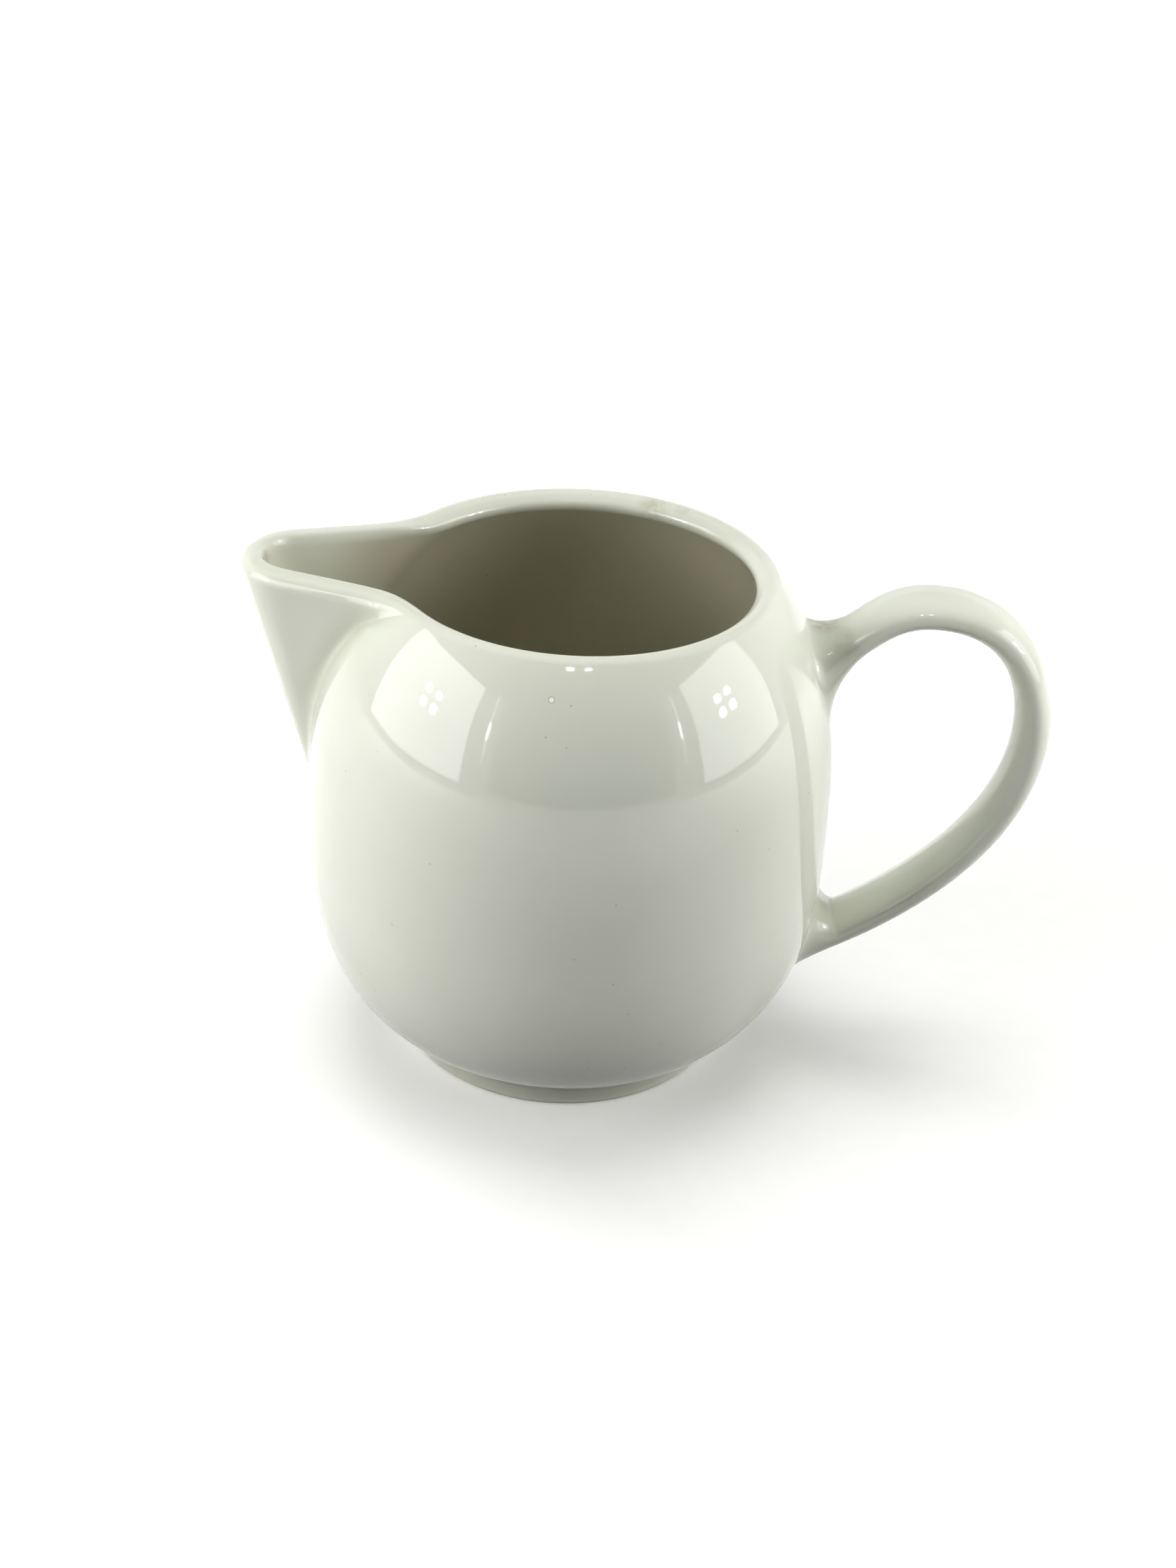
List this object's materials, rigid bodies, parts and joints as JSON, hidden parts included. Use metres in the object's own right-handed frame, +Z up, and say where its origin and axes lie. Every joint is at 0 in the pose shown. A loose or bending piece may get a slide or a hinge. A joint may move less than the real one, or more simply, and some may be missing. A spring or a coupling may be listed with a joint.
{
  "type": "ceramic pitcher",
  "caption": "Small full-bellied cream jug with a beak spout opposite a looped strap handle, standing on a low unglazed foot ring; for holding and pouring milk or cream.",
  "frame": {"origin": "centre of the plane that the foot ring stands on", "axes": "+Z up; +X towards the handle, so the spout points along -X; +Y across the jug, which is mirror-symmetric about Y = 0"},
  "size_m": [0.1367, 0.09, 0.0892],
  "materials": {
    "glazed_body": "gloss white glaze over vitrified clay",
    "glazed_slip": "gloss glaze pooled over joining slip",
    "bare_foot": "matt, wiped clean of glaze and fired bare"
  },
  "bodies": {
    "root": {"body": "glazed_body", "foot_ring": "bare_foot", "spout": "glazed_body", "spout_slip_joint": "glazed_slip", "handle": "glazed_body", "upper_handle_slip_joint": "glazed_slip", "lower_handle_slip_joint": "glazed_slip"}
  },
  "joints": []
}
